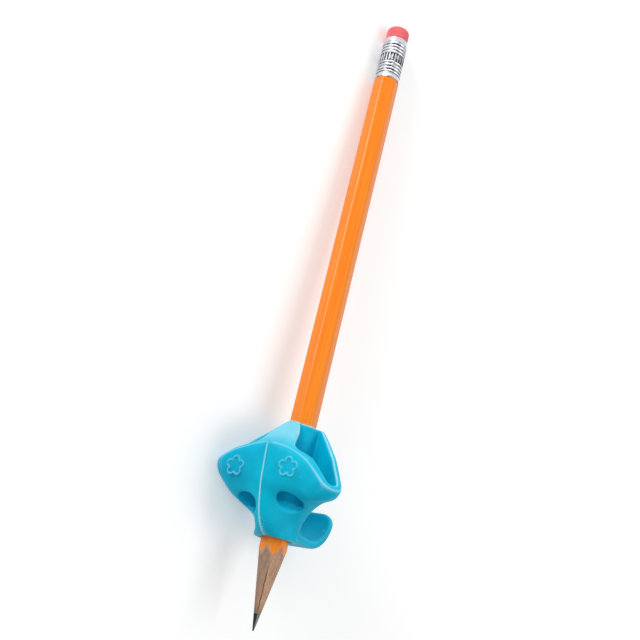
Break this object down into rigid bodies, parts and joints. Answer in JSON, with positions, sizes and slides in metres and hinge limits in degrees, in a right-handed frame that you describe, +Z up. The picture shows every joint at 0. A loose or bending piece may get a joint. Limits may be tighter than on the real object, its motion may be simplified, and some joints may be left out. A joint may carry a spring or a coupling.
{
  "type": "pencil grip",
  "caption": "Silicone writing-aid grip with finger pockets, fingertip windows and a middle-finger hook, sliding on a hexagonal wood-cased pencil with ferrule and eraser.",
  "frame": {"origin": "on the table, at the centre of the box that the lying pair fills", "axes": "+X along the pencil, from the lead's point to the eraser; +Z up from the table; the middle-finger hook is towards -Y and the grip's ridge towards +Y"},
  "size_m": [0.1888, 0.0384, 0.0341],
  "materials": {
    "silicone": "satin",
    "lacquer": "gloss",
    "cedar": "raw",
    "graphite": "satin",
    "ferrule_metal": "bright",
    "eraser_rubber": "matte"
  },
  "bodies": {
    "grip": {"grip": "silicone"},
    "pencil": {"lacquer": "lacquer", "wood_slat_upper": "cedar", "wood_slat_lower": "cedar", "lead": "graphite", "ferrule": "ferrule_metal", "eraser": "eraser_rubber"}
  },
  "joints": [
    {"name": "pencil_slide", "type": "slide", "parent": "grip", "child": "pencil", "axis": [-0.9982, 0, 0.0597], "range_m": [-0.0015, 0.113]}
  ]
}
